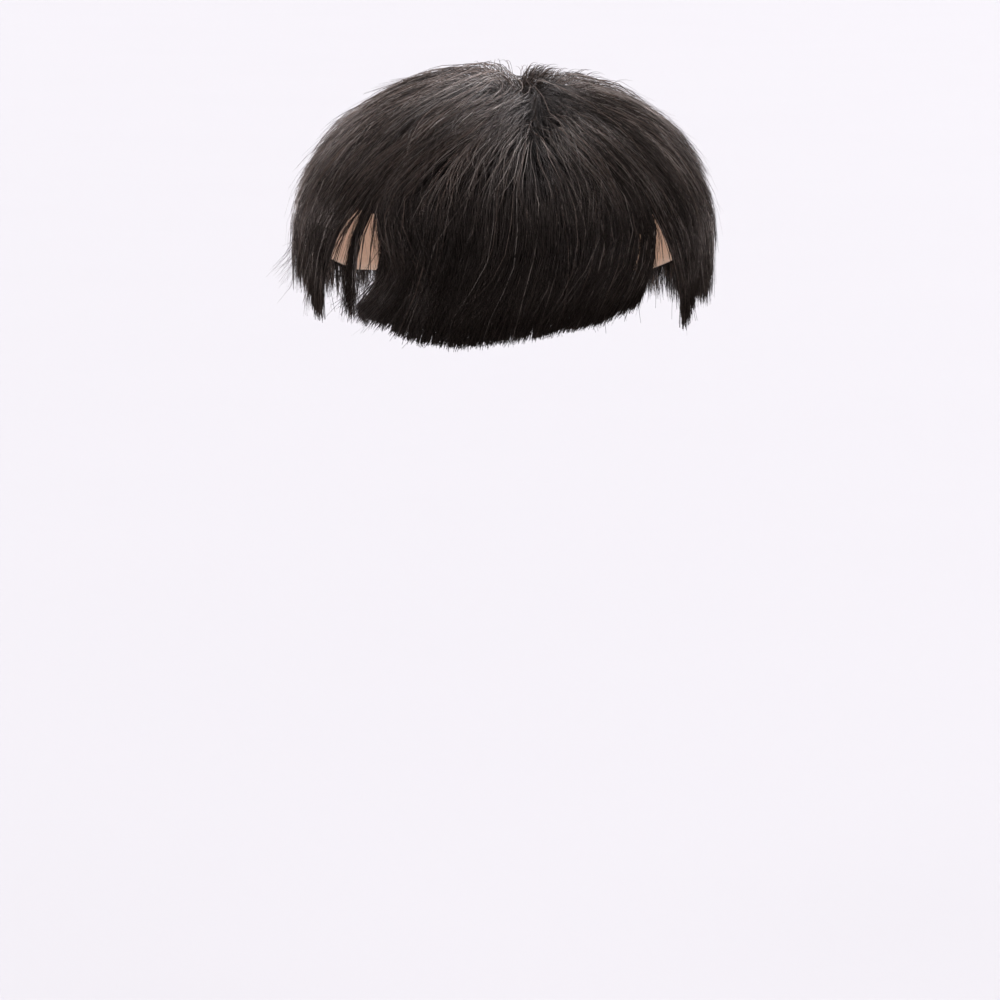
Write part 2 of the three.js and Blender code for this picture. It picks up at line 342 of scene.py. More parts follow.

# How tones and widths vary: tones run from 0, dark, to 1, light.
# Long strands, which lie under the rest and reach the hem, are darkened as painted shade; at the temples they
# are lifted part way back towards full lightness.
LONG_TIPS = (0.85, 1.0)
TEMPLE_LIGHTNESS = 0.6
LOCK_LIGHTNESS = (0.1, 1.8)
TONE_SPREAD = 0.2
# Light strands are painted glints: light brown from roots by the whorl, light grey elsewhere, more often on
# short strands, and drawn wider.
SHORT_GLINT_FACTOR = 2
WHORL_GLINT_ROOTS = 0.12
WHORL_GLINT_TONES = (0.74, 0.88)
GLINT_TONES = (0.84, 1.0)
HIGHEST_TONE = 0.999
WIDTH_SHARE = (0.75, 1.1)
GLINT_WIDTH = 1.4
FINE_WIDTH = 0.65
FINE_STAND = 0.5
STRAND_TAPER_ALONG = (0.0, 0.15, 0.7, 1.0)
ROOT_WIDTH = 0.7
LATE_WIDTH = 0.8

# How the materials look: the tones at which the strands reach each colour, and how rough or fine they are.
DARK_TONES_END = 0.4
BROWN_TONE = 0.7
BROWN_GLINT_TONE = 0.86
TIP_START = 0.55
TIP_FADE = 0.6
GLOSS_WAVES = TONE_ROWS / 4
SLEEKEST_STRANDS = 0.11
DULLEST_STRANDS = 0.32
HAIR_IOR = 1.55
THREAD_HALF_WIDTH = 0.16
THREAD_RELIEF = 0.0002
THREAD_BUMP = 0.5
FILM_PATCHES = 45.0
NET_ROUGHNESS = 0.75
FLOOR_MOTTLE = 3.0
FLOOR_DARKER = 0.985
FLOOR_ROUGHNESS = 0.9

# How the base is cut from its round form, and how the floor, the room and the camera are set up.
ON_CUT_PLANE = 1e-5
FLOOR_GRID = 8
SEEN_ROOM_LIGHT = 0.97
SENSOR_WIDTH_MM = 36.0

FLICKS = (
    FlickRow("side_hair_right_strands", -70, 5, 0.7, 34, 1.16, 13),
    FlickRow("side_hair_right_strands", -50, 6, 0.7, 40, 1.25, 2),
    FlickRow("side_hair_left_strands", 70, 6, 0.7, 24, 1.2, 2.5),
    FlickRow("crown_strands", -34, 5, 0.05, 70, 0.45, 1.4),
    FlickRow("crown_strands", -48, 6, 0.05, 60, 0.52, 1.2),
    FlickRow("crown_strands", 30, 9, 0.05, 60, 0.45, 0.9),
)

LIGHTS = (
    LightRow(-0.36, -0.72, 0.6, 4), LightRow(0.36, -0.72, 0.6, 2.5), LightRow(0.34, -0.42, 0.84, 3),
    LightRow(-0.52, -0.23, 0.82, 8), LightRow(0.7, -0.1, 0.7, 9), LightRow(0, 0.62, 0.78, 3),
    LightRow(-0.45, 0.4, 0.8, 14), LightRow(0.45, 0.4, 0.8, 10), LightRow(0.36, 0.55, 0.75, 10),
    LightRow(0, 0.35, 0.94, 2.5), LightRow(0.72, 0.35, 0.6, 9), LightRow(-0.7, 0.2, 0.68, 13),
    LightRow(-0.6, 0.75, 0.25, 9), LightRow(0.6, 0.75, 0.25, 24), LightRow(-0.92, 0.38, 0.08, 19),
    LightRow(0.9, 0.43, -0.02, 27), LightRow(-0.98, -0.12, -0.03, 17), LightRow(0.98, -0.1, -0.05, 11),
    LightRow(0.15, -0.99, -0.05, 2.5),
)

TUFT = (
    TuftRow(8.2, 11, 1.3, 7.4, 3, 3, 60),
    TuftRow(10.5, 12, 1.7, 9, 4.5, 4, 80),
    TuftRow(13, 12, 2, 8.4, 6.5, 4, 80),
    TuftRow(17, 11, 2.4, 7, 8, 3, 40),
    TuftRow(-14, 9, 7, 9.2, -7, 2, 36),
    TuftRow(-2, 10, 4, 10.2, -3, 3, 34),
    TuftRow(26, 9, 5, 10.2, 8, 2, 30),
)
TUFT_FOOT = 2.4
TUFT_FOOT_SPREAD = 0.3
TUFT_HEIGHT_SHARE = (0.55, 1.1)
TUFT_LEAN_SPREAD = (1.6, 1.6, 0.64)
TUFT_LEAN_POWER = 1.6
TUFT_BEND = 1.9
TUFT_TONES = (0.35, 0.95)
TUFT_WIDTHS = (0.75, 1.15)


def column(table, name):
    """One named column of a table as an array."""
    return np.array([getattr(row, name) for row in table], dtype=float)


def look_up(table, key, value, at):
    """Value of a column at a place in a table, straight between its rows."""
    return np.interp(at, column(table, key), column(table, value))


def smooth_step(at, start, end):
    """Soft step from 0 at start to 1 at end."""
    share = np.clip((at - start) / (end - start), 0.0, 1.0)
    return share * share * (3.0 - 2.0 * share)


def wrapped(azimuth):
    """The same azimuth between -180 and 180 degrees."""
    return (azimuth + 180.0) % 360.0 - 180.0


def hollow_frame(azimuth, run):
    """Points in mm on the hollow, and their outward normals, at azimuths in degrees and runs."""
    turn = np.radians(azimuth)
    length = np.where(np.cos(turn) > 0, HOLLOW_FRONT, HOLLOW_BACK)
    reach = 1.0 / np.hypot(np.sin(turn) / HOLLOW_HALF_WIDTH, np.cos(turn) / length)
    out = np.sin(np.minimum(run, 1.0) * math.pi / 2)
    x = WHORL_X * (1 - out) + reach * out * np.sin(turn)
    y = WHORL_Y * (1 - out) - reach * out * np.cos(turn)
    length = np.where(y < 0, HOLLOW_FRONT, HOLLOW_BACK)
    level = np.sqrt(np.maximum(1 - (x / HOLLOW_HALF_WIDTH) ** 2 - (y / length) ** 2, 0))
    fall = np.maximum(run - 1, 0) * FALL_PER_RUN
    normal = np.stack([x / HOLLOW_HALF_WIDTH**2, y / length**2, level / HOLLOW_HEIGHT], -1)
    normal /= np.linalg.norm(normal, axis=-1, keepdims=True)
    return np.stack([x, y, HOLLOW_HEIGHT * (level - 1) - fall], -1), normal


def hair_points(azimuth, run, lift):
    """Points in mm at azimuths in degrees, runs along the hair path and lifts off the hollow."""
    point, normal = hollow_frame(azimuth, run)
    return point + normal * lift[..., None]


def depth_at_run(run):
    """Depth in mm below the origin at runs on the dome."""
    return HOLLOW_HEIGHT * (1 - np.cos(np.minimum(run, 1.0) * math.pi / 2))


def run_at_depth(depth):
    """Run along the hair path at depths in mm below the origin."""
    dome = np.arccos(np.clip(1 - depth / HOLLOW_HEIGHT, 0, 1)) / (math.pi / 2)
    return np.where(depth > HOLLOW_HEIGHT, 1 + (depth - HOLLOW_HEIGHT) / FALL_PER_RUN, dome)


def rim_depth(azimuth):
    """Depth in mm of the base's edge."""
    return look_up(RIM, "azimuth", "depth", np.abs(wrapped(azimuth)))


def outer_lift(azimuth, run):
    """Height in mm of the hair's outer face, with the ring round the whorl."""
    inner = run / RING_RUN
    outer = (RING_END - run) / (RING_END - RING_RUN)
    share = np.clip(np.minimum(inner, outer), 0.0, 1.0)
    return look_up(LIFT, "run", "lift", run) + share * look_up(RING, "azimuth", "rise", wrapped(azimuth))


def flow_step(run):
    """Which pair of FLOW_RUNS each run lies between, and how far along it."""
    runs = np.array(FLOW_RUNS)
    low = np.clip(np.searchsorted(runs, run, side="right") - 1, 0, runs.size - 2)
    return low, np.clip((run - runs[low]) / (runs[low + 1] - runs[low]), 0.0, 1.0)


def line_at(azimuth, run):
    """Home azimuth of the lines of hair that pass through places near the roots."""
    table = np.array(FLOW, dtype=float)
    low, share = flow_step(run)
    passing = table[:, low] * (1 - share) + table[:, low + 1] * share
    row = np.clip((passing <= azimuth).sum(0) - 1, 0, len(FLOW) - 2)
    each = np.arange(azimuth.size)
    before, after = passing[row, each], passing[row + 1, each]
    home = column(FLOW, "home")
    return home[row] + (azimuth - before) / (after - before) * (home[row + 1] - home[row])


def follow_line(line, run):
    """Azimuths along lines of hair, eased where they turn."""
    table = np.array(FLOW, dtype=float)
    near = wrapped(line)
    home = column(FLOW, "home")
    passed = np.stack([np.interp(near, home, azimuths) for azimuths in table.T], -1)
    low, share = flow_step(run)
    before = np.take_along_axis(passed, low[..., None], -1)[..., 0]
    after = np.take_along_axis(passed, low[..., None] + 1, -1)[..., 0]
    turn = before * (1 - share) + after * share - near
    turn[:, 1:-1] = (turn[:, :-2] + 2 * turn[:, 1:-1] + turn[:, 2:]) / 4
    return near + turn


def hem_azimuth(line):
    """Azimuths where lines of hair reach the hem, from the end of a short path, which isn't eased."""
    path = np.broadcast_to(line[:, None], (line.size, 3))
    return follow_line(path, np.full(path.shape, FLOW_RUNS[-1]))[:, 0]


def wave_at(turns):
    """Height of a smooth wave after a number of turns."""
    return np.sin(2 * math.pi * turns)


def parting_dip(azimuth, run):
    """Depth in mm of the parting in front of the whorl."""
    across = (azimuth - PARTING.azimuth) / PARTING.half_azimuth
    down = (run - PARTING.run) / PARTING.half_run
    return PARTING.depth * np.exp(-(across**2 + down**2))


def stack_turn(azimuth, run, lift):
    """Turn in degrees that stacks the layers at the temples behind each other, seen from the front."""
    outer = outer_lift(azimuth, run)
    face = hair_points(azimuth, run, outer)[..., 0]
    per_degree = hair_points(azimuth + 1, run, outer)[..., 0] - face
    behind = face - hair_points(azimuth, run, lift)[..., 0]
    turn = np.clip(behind / np.maximum(per_degree, LEAST_STACK_STEP), -MOST_STACK_TURN, MOST_STACK_TURN)
    aside = np.abs(azimuth)
    return turn * smooth_step(aside, *STACK_FRONT) * (1 - smooth_step(aside, *STACK_BACK))


def nearest(points, centres):
    """Index of the nearest centre for each point."""
    gaps = ((points[:, None, :] - centres[None, :, :]) ** 2).sum(-1)
    return gaps.argmin(1)


def scatter_roots(area, rng):
    """Azimuths and runs of an area's roots, even over the base."""
    azimuth = rng.uniform(area.first, area.last, area.strands)
    top = depth_at_run(area.high_run)
    low = rim_depth(azimuth) - RIM_MARGIN
    if area.low_run < 1:
        low = np.minimum(low, depth_at_run(area.low_run))
    return azimuth, run_at_depth(top + (low - top) * rng.random(area.strands))


def clear_openings(line, rng):
    """Lines of hair with most of those in an opening moved to its edges."""
    line = line.copy()
    for middle in OPENINGS:
        inside = (np.abs(line - middle) < OPENING_HALF_WIDTH) & (rng.random(line.size) > OPENING_STRAYS)
        aside = OPENING_HALF_WIDTH + np.abs(rng.normal(0, OPENING_EDGE_SPREAD, line.size))
        line = np.where(inside, middle + np.where(line < middle, -aside, aside), line)
    return line


class Growth:
    """Strands of one area while they grow, with the random draws that strands, wisps and locks share."""

    def __init__(self, area, hair):
        self.area = area
        self.hair = hair
        self.rng = np.random.default_rng(area.seed)
        self.azimuth, self.root = scatter_roots(area, self.rng)
        self.count = self.azimuth.size
        self.line = clear_openings(line_at(wrapped(self.azimuth), self.root), self.rng)
        self.gather_roots()
        self.upper = 1 - smooth_step(self.root, *UPPER_ROOTS)
        self.hang = wrapped(hem_azimuth(self.wisp_line))
        aside = np.abs(self.hang)
        self.temple = smooth_step(aside, *TEMPLE_FRONT) * (1 - smooth_step(aside, *TEMPLE_BACK))

    def gather_roots(self):
        """Joins strands in wisps and wisps in locks, but not across an opening or close to the whorl."""
        place, _ = hollow_frame(self.azimuth, self.root)
        wisp_roots = self.rng.choice(self.count, self.count // self.area.wisp_strands, replace=False)
        lock_roots = self.rng.choice(self.count, self.area.locks, replace=False)
        self.wisps = wisp_roots.size
        self.wisp = nearest(place, place[wisp_roots])
        self.lock = nearest(place[wisp_roots], place[lock_roots])[self.wisp]
        stretch = np.searchsorted(OPENINGS, self.line)
        joins = self.root >= WHORL_ROOTS
        with_wisp = (stretch[wisp_roots][self.wisp] == stretch) & joins
        with_lock = (stretch[lock_roots][self.lock] == stretch) & joins
        self.wisp_line = np.where(with_wisp, self.line[wisp_roots][self.wisp], self.line)
        self.lock_line = np.where(with_lock, self.line[lock_roots][self.lock], self.wisp_line)

    def per_lock(self, low, high):
        """A random value for each lock, given to its strands."""
        return self.rng.uniform(low, high, self.area.locks)[self.lock]

    def per_wisp(self, low, high):
        """A random value for each wisp, given to its strands."""
        return self.rng.uniform(low, high, self.wisps)[self.wisp]

    def per_strand(self, spread):
        """A random value for each strand, about zero."""
        return self.rng.normal(0, spread, self.count)

    def share(self):
        """A random share for each strand."""
        return self.rng.random(self.count)

    def hem_depths(self):
        """Depths in mm where the longest strands end: ragged by wisps and pointed by locks."""
        ragged = np.maximum(self.area.ragged, TEMPLE_RAGGED * self.temple)
        hem = look_up(HEM, "azimuth", "depth", self.hang) - self.per_wisp(*WISP_END_SHARE) * ragged
        hem += self.per_strand(END_SPREAD) - ragged * self.share() ** 3
        hem -= TEMPLE_LAYERS * self.temple * smooth_step(self.root, *TEMPLE_ROOTS) * self.share()
        from_lock = np.abs(wrapped(self.line - self.lock_line))
        return hem - self.area.pointed * np.minimum(from_lock, POINTED_REACH)

    def ends(self):
        """Runs where the strands end, which strands are short, and how far in mm some stand out."""
        longest = run_at_depth(self.hem_depths())
        reach = self.per_lock(*LOCK_REACH) + self.per_wisp(*WISP_REACH) + self.per_strand(REACH_SPREAD)
        reach += LOWER_REACH * (1 - self.upper)
        short = (self.share() < self.hair.short_share) & (self.root < SHORT_ROOTS)
        reach = np.where(short, self.rng.uniform(*SHORT_REACH, self.count), reach)
        tip = np.minimum(self.root + reach, longest)
        flick = np.zeros(self.count)
        for row in (row for row in FLICKS if row.piece == self.area.piece):
            chosen = (np.abs(self.line - row.home) < row.spread) & (self.root > row.root)
            chosen = np.flatnonzero(chosen)[: row.strands]
            tip[chosen] = row.tip + self.rng.normal(0, FLICK_END_SPREAD, chosen.size)
            flick[chosen] = row.out * self.rng.uniform(*FLICK_SHARE, chosen.size)
        return np.maximum(tip, self.root + LEAST_REACH), short, flick

    def sweep(self, along, run):
        """Azimuths along the strands: drawn together on their lines, turned by the whorl and bent."""
        gather = np.interp(along, *GATHER_ALONG)
        lock_pull = self.hair.lock_pull * (LOWER_LOCK_PULL + (1 - LOWER_LOCK_PULL) * self.upper)
        wisp_pull = self.hair.wisp_pull * (self.area.gather + (1 - self.area.gather) * self.upper)
        from_lock = wrapped(self.wisp_line - self.lock_line)[:, None]
        from_wisp = wrapped(self.line - self.wisp_line)[:, None]
        path = self.lock_line[:, None] + from_lock * (1 - lock_pull[:, None] * gather)
        path = path + from_wisp * (1 - wisp_pull[:, None] * gather)
        path = follow_line(path, run)
        swirl = -math.degrees(self.hair.swirl) * np.exp(-run / SWIRL_RUN)
        bend = self.per_lock(*LOCK_BEND) + self.per_wisp(*WISP_BEND) + self.per_strand(STRAND_BEND)
        bend = bend * (LOWER_BEND + (1 - LOWER_BEND) * self.upper)
        wave = self.per_wisp(*WISP_WAVE)[:, None] * wave_at(along + self.per_wisp(0, 1)[:, None])
        frizz = self.per_strand(FRIZZ)[:, None] * wave_at(along * FRIZZ_WAVES + self.share()[:, None])
        return path + swirl + bend[:, None] * along**2 + (wave + frizz) * along

    def layer(self, along, run, path, short):
        """Heights in mm over the hollow: hair with higher roots lies over hair with lower ones."""
        foot = self.hair.foot / MM
        low_root = np.minimum(run, run_at_depth(rim_depth(self.azimuth))[:, None])
        high_root = np.maximum(run - self.hair.length_run, 0)
        rank = (low_root - self.root[:, None]) / np.maximum(low_root - high_root, LEAST_LAYER)
        uneven = self.per_lock(*LAYER_SPREAD) + self.per_wisp(*LAYER_SPREAD)
        uneven += self.per_strand(STRAND_LAYER_SPREAD)
        level = LOWEST_LAYER + (1 - LOWEST_LAYER) * np.clip(rank, 0, 1) ** LAYER_POWER
        level = np.clip(level + uneven[:, None] + SHORT_LAYER * short[:, None], *LAYER_LIMITS)
        return foot + (outer_lift(path, run) - foot) * level * smooth_step(along, *ROOT_RISE)

    def swell(self, along):
        """Soft rises and dips in mm along the wisps, and wisp ends that stand off or lie close."""
        rise = wave_at(self.per_wisp(*SWELL_WAVES)[:, None] * along + self.per_wisp(0, 1)[:, None]) * along
        height = self.per_wisp(*SWELL_HEIGHT) * (LOWER_SWELL + (1 - LOWER_SWELL) * self.upper)
        return height[:, None] * rise + (self.per_wisp(*WISP_STAND) * self.upper)[:, None] * along**3

    def flyaways(self):
        """How far in mm the few loose strands stand off the rest at their ends."""
        chance = self.hair.flyaway_share * (LOWER_FLYAWAYS + (1 - LOWER_FLYAWAYS) * self.upper)
        return np.where(self.share() < chance, self.rng.uniform(*FLYAWAY_STAND, self.count), 0)

    def stray(self, loose):
        """Degrees by which loose strands and those at the temples part from their wisps."""
        return np.sign(loose) * self.per_strand(FLYAWAY_STRAY) + self.temple * self.per_strand(TEMPLE_STRAY)

    def tones(self, tip, short):
        """Place of each strand between dark and light, with painted shade on the long strands, and which
        strands are light ones, the painted glints.
        """
        area = self.area
        long_shaded_lightness = area.long_shaded_lightness + (1 - area.long_shaded_lightness) * TEMPLE_LIGHTNESS * self.temple
        # Painted shade: the longer a strand, the nearer it comes to the darker long-strand level.
        shaded_lightness = area.shaded_lightness + (long_shaded_lightness - area.shaded_lightness) * smooth_step(tip, *LONG_TIPS)
        shaded_lightness = shaded_lightness * self.per_lock(*LOCK_LIGHTNESS)
        tone = np.abs(shaded_lightness * self.per_wisp(0, 1) ** 2 + self.per_strand(TONE_SPREAD))
        # Painted glints: a share of strands, more of the short top ones, take light tones, light brown by the
        # whorl and light grey elsewhere.
        light = self.share() < self.hair.glint_share * shaded_lightness * np.where(short, SHORT_GLINT_FACTOR, 1)
        brown_glints = self.rng.uniform(*WHORL_GLINT_TONES, self.count)
        grey_glints = self.rng.uniform(*GLINT_TONES, self.count)
        glint_tone = np.where(self.root < WHORL_GLINT_ROOTS, brown_glints, grey_glints)
        return np.minimum(np.where(light, glint_tone, tone), HIGHEST_TONE), light

    def widths(self, light, stand):
        """Width of each strand against the usual: light ones, the painted glints, wide, those that stand out
        fine.
        """
        width = self.area.width * self.rng.uniform(*WIDTH_SHARE, self.count)
        return width * np.where(light, GLINT_WIDTH, 1.0) * np.where(stand > FINE_STAND, FINE_WIDTH, 1.0)


def grow(area, hair):
    """Paths in mm, tones and widths of an area's strands."""
    growth = Growth(area, hair)
    tip, short, flick = growth.ends()
    along = np.linspace(0, 1, area.points)[None, :]
    run = growth.root[:, None] + (tip - growth.root)[:, None] * along
    path = growth.sweep(along, run)
    lift = growth.layer(along, run, path, short)
    path = path + stack_turn(wrapped(path), run, lift)
    lift = lift + growth.swell(along)
    loose = growth.flyaways()
    lift = lift + (flick + loose)[:, None] * along**3 - parting_dip(wrapped(path), run)
    path = path + growth.stray(loose)[:, None] * along**2
    tone, light = growth.tones(tip, short)
    width = growth.widths(light, loose + flick)
    return hair_points(path, run, np.maximum(lift, hair.foot / MM)), tone, width


def grow_tuft(points, seed):
    """Short upright strands by the whorl, bent over at their ends."""
    rng = np.random.default_rng(seed)
    along = np.linspace(0, 1, points)[None, :, None]
    paths = []
    for row in TUFT:
        spread = np.array([row.spread, row.spread, TUFT_FOOT_SPREAD])
        foot = np.array([row.x, row.y, TUFT_FOOT]) + rng.normal(0, 1, (row.strands, 3)) * spread
        level = 1 - (foot[:, 0] / HOLLOW_HALF_WIDTH) ** 2 - (foot[:, 1] / HOLLOW_BACK) ** 2
        foot[:, 2] += HOLLOW_HEIGHT * (np.sqrt(level) - 1)
        height = row.height * rng.uniform(*TUFT_HEIGHT_SHARE, (row.strands, 1, 1)) * np.array([0, 0, 1])
        lean = np.array([row.lean_x, row.lean_y, 0]) + rng.normal(0, 1, (row.strands, 3)) * TUFT_LEAN_SPREAD
        bend = height * np.sin(along * TUFT_BEND) + lean[:, None, :] * along**TUFT_LEAN_POWER
        paths.append(foot[:, None, :] + bend)
    paths = np.concatenate(paths)
    return paths, rng.uniform(*TUFT_TONES, len(paths)), rng.uniform(*TUFT_WIDTHS, len(paths))


def strand_corners(paths, width, tip_width, hair):
    """Corners in metres of three-sided tapering strands along the paths."""
    along = np.linspace(0, 1, paths.shape[1])
    late_width = LATE_WIDTH + (1 - LATE_WIDTH) * tip_width
    taper = np.interp(along, STRAND_TAPER_ALONG, (ROOT_WIDTH, 1, late_width, tip_width))
    radius = hair.strand_width / MM / 2 * width[:, None] * taper[None, :]
    tangent = np.gradient(paths, axis=1)
    tangent /= np.linalg.norm(tangent, axis=-1, keepdims=True)
    outward = paths - np.array([0.0, 0.0, -HOLLOW_HEIGHT])
    side = np.cross(tangent, outward)
    side /= np.linalg.norm(side, axis=-1, keepdims=True)
    face = np.cross(side, tangent)
    angle = 2 * math.pi * np.arange(STRAND_SIDES) / STRAND_SIDES
    ring = np.cos(angle)[:, None] * face[:, :, None, :] + np.sin(angle)[:, None] * side[:, :, None, :]
    return (paths[:, :, None, :] + radius[:, :, None, None] * ring) * MM


def strand_faces(count, points):
    """Corner numbers of the strands' faces, sides first and then both caps, and where each face starts."""
    first = np.arange(count)[:, None, None] * points * STRAND_SIDES
    here = np.arange(STRAND_SIDES)[None, None, :]
    after = (here + 1) % STRAND_SIDES
    lower = first + np.arange(points - 1)[None, :, None] * STRAND_SIDES
    upper = lower + STRAND_SIDES
    sides = np.stack([lower + here, lower + after, upper + after, upper + here], -1).reshape(-1, 4)
    root_cap = first[:, 0, :] + np.arange(STRAND_SIDES)[None, ::-1]
    tip_cap = first[:, 0, :] + (points - 1) * STRAND_SIDES + np.arange(STRAND_SIDES)[None, :]
    caps = np.concatenate([root_cap, tip_cap])
    loops = np.concatenate([sides.ravel(), caps.ravel()]).astype(np.int32)
    cap_starts = sides.size + np.arange(len(caps)) * STRAND_SIDES
    return loops, np.concatenate([np.arange(len(sides)) * 4, cap_starts]).astype(np.int32)


def shade_strands(mesh, tone, points, loops):
    """Writes how far along its strand and how light each corner is, and the map that the colours bake to."""
    shape = (tone.size, points, STRAND_SIDES)
    along = np.broadcast_to(np.linspace(0, 1, points)[None, :, None], shape).ravel()
    tone = np.broadcast_to(tone[:, None, None], shape).ravel()
    for attribute, values in (("strand_along", along), ("strand_tone", tone)):
        layer = mesh.attributes.new(attribute, "FLOAT", "POINT")
        layer.data.foreach_set("value", values.astype(np.float32))
    tone_row = np.floor(tone * TONE_ROWS) + (1 - TONE_ROW_HEIGHT) / 2
    across = TONE_ROW_HEIGHT * np.arange(STRAND_SIDES) / (STRAND_SIDES - 1)
    across = np.broadcast_to(across[None, None, :], shape).ravel()
    chart = np.stack([along, (tone_row + across) / TONE_ROWS], -1)
    bake_map = mesh.uv_layers.new(name="OFBake")
    bake_map.data.foreach_set("uv", chart[loops].astype(np.float32).ravel())


def strand_piece(name, paths, tone, width, tip_width, hair):
    """One piece of closed strands along the paths."""
    count, points, _ = paths.shape
    corners = strand_corners(paths, width, tip_width, hair)
    loops, starts = strand_faces(count, points)
    mesh = bpy.data.meshes.new(name)
    mesh.vertices.add(corners.size // 3)
    mesh.vertices.foreach_set("co", corners.astype(np.float32).ravel())
    mesh.loops.add(loops.size)
    mesh.loops.foreach_set("vertex_index", loops)
    mesh.polygons.add(starts.size)
    mesh.polygons.foreach_set("loop_start", starts)
    mesh.polygons.foreach_set("use_smooth", np.ones(starts.size, dtype=bool))
    shade_strands(mesh, tone, points, loops)
    mesh.update()
    mesh.validate()
    piece = bpy.data.objects.new(name, mesh)
    bpy.context.scene.collection.objects.link(piece)
    return piece


def set_inputs(tree, node, inputs):
    """Sets a node's inputs, by name or number, to values or to other nodes' outputs."""
    for key, value in inputs.items():
        if isinstance(value, bpy.types.NodeSocket):
            tree.links.new(value, node.inputs[key])
        else:
            node.inputs[key].default_value = value


def add_node(tree, kind, inputs=None, **settings):
    """A new node with its settings and inputs."""
    node = tree.nodes.new(kind)
    for name, value in settings.items():
        setattr(node, name, value)
    set_inputs(tree, node, inputs or {})
    return node


def read_attribute(tree, name):
    """Output of a node that reads one of the mesh's own values."""
    return add_node(tree, "ShaderNodeAttribute", attribute_name=name).outputs["Fac"]


def mix_colours(tree, share, first, second):
    """Output of a node that goes from the first colour to the second; each is a setting or an output."""
    pair = {}
    for key, colour in (("A", first), ("B", second)):
        pair[key] = colour if isinstance(colour, bpy.types.NodeSocket) else (*colour, 1)
    return add_node(tree, "ShaderNodeMix", {"Factor": share, **pair}, data_type="RGBA").outputs["Result"]


def new_material(name):
    """A node material, its node tree and its shader."""
    material = bpy.data.materials.new(name)
    material.use_nodes = True
    tree = material.node_tree
    return material, tree, next(node for node in tree.nodes if node.type == "BSDF_PRINCIPLED")


def hair_material(hair):
    """Natural black strands, some brown, with light and light brown strands as painted glints; all browner
    towards the tips, with a soft gloss.
    """
    material, tree, shader = new_material("natural_black_hair")
    tone = read_attribute(tree, "strand_tone")
    ramp = add_node(tree, "ShaderNodeValToRGB", {"Fac": tone})
    stops = ramp.color_ramp.elements
    stops[0].color = (*hair.dark_colour, 1)
    # The light stop here and the light brown stop colour the painted glints.
    stops[1].color = (*hair.light_colour, 1)
    stops.new(DARK_TONES_END).color = (*hair.dark_colour, 1)
    stops.new(BROWN_TONE).color = (*hair.brown_colour, 1)
    stops.new(BROWN_GLINT_TONE).color = (*hair.brown_glint_colour, 1)
    along = read_attribute(tree, "strand_along")
    fade = add_node(tree, "ShaderNodeMapRange", {"Value": along, "From Min": TIP_START, "To Max": TIP_FADE})
    colour = mix_colours(tree, fade.outputs["Result"], ramp.outputs["Color"], hair.tip_colour)
    turns = add_node(tree, "ShaderNodeMath", {0: tone, 1: 2 * math.pi * GLOSS_WAVES}, operation="MULTIPLY")
    change = add_node(tree, "ShaderNodeMath", {0: turns.outputs["Value"]}, operation="SINE")
    gloss = add_node(tree, "ShaderNodeMapRange", {
        "Value": change.outputs["Value"],
        "From Min": -1.0,
        "To Min": hair.gloss_roughness - SLEEKEST_STRANDS,
        "To Max": hair.gloss_roughness + DULLEST_STRANDS,
    })
    set_inputs(tree, shader, {
        "Base Color": colour,
        "Roughness": gloss.outputs["Result"],
        "IOR": HAIR_IOR,
        "Specular Tint": (*hair.gloss_tint, 1),
    })
    return material


def net_material(base):
    """Skin-toned net: fine threads in a honeycomb, with the outer face under the hair dark, partly hair knots
    and partly painted shade.
    """
    material, tree, shader = new_material("skin_tone_net")
    place = add_node(tree, "ShaderNodeTexCoord").outputs["Object"]
    pattern = {"Vector": place, "Scale": 1.0 / base.net_pitch}
    cells = add_node(tree, "ShaderNodeTexVoronoi", pattern, feature="DISTANCE_TO_EDGE")
    threads = add_node(tree, "ShaderNodeMapRange", {
        "Value": cells.outputs["Distance"], "From Max": THREAD_HALF_WIDTH, "To Min": 1.0, "To Max": 0.0,
    }).outputs["Result"]
    patches = add_node(tree, "ShaderNodeTexNoise", {"Vector": place, "Scale": FILM_PATCHES}).outputs["Fac"]
    film = mix_colours(tree, patches, base.thread_colour, base.skin_colour)
    net = mix_colours(tree, threads, film, base.thread_colour)
    # Painted shade: the whole outer face under the hair is dark, partly for its knots.
    knotted_and_shaded = mix_colours(tree, read_attribute(tree, "outer_face"), net, base.knot_and_shade_colour)
    relief = {"Strength": THREAD_BUMP, "Distance": THREAD_RELIEF, "Height": threads}
    bump = add_node(tree, "ShaderNodeBump", relief)
    normal = bump.outputs["Normal"]
    set_inputs(tree, shader, {"Base Color": knotted_and_shaded, "Normal": normal, "Roughness": NET_ROUGHNESS})
    return material


def floor_material(stage):
    """Pale matt studio floor with a faint mottle."""
    material, tree, shader = new_material("pale_studio_floor")
    place = add_node(tree, "ShaderNodeTexCoord").outputs["Object"]
    mottle = add_node(tree, "ShaderNodeTexNoise", {"Vector": place, "Scale": FLOOR_MOTTLE}).outputs["Fac"]
    darker = [FLOOR_DARKER * value for value in stage.floor_colour]
    colour = mix_colours(tree, mottle, stage.floor_colour, darker)
    set_inputs(tree, shader, {"Base Color": colour, "Roughness": FLOOR_ROUGHNESS})
    return material


def settings_of(context):
    """The hairpiece's settings on the scene."""
    return context.scene.hairpiece


def finish_piece(piece, material, node):
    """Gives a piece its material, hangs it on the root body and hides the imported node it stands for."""
    piece.data.materials.append(material)
    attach(piece, "root")
    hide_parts(node)


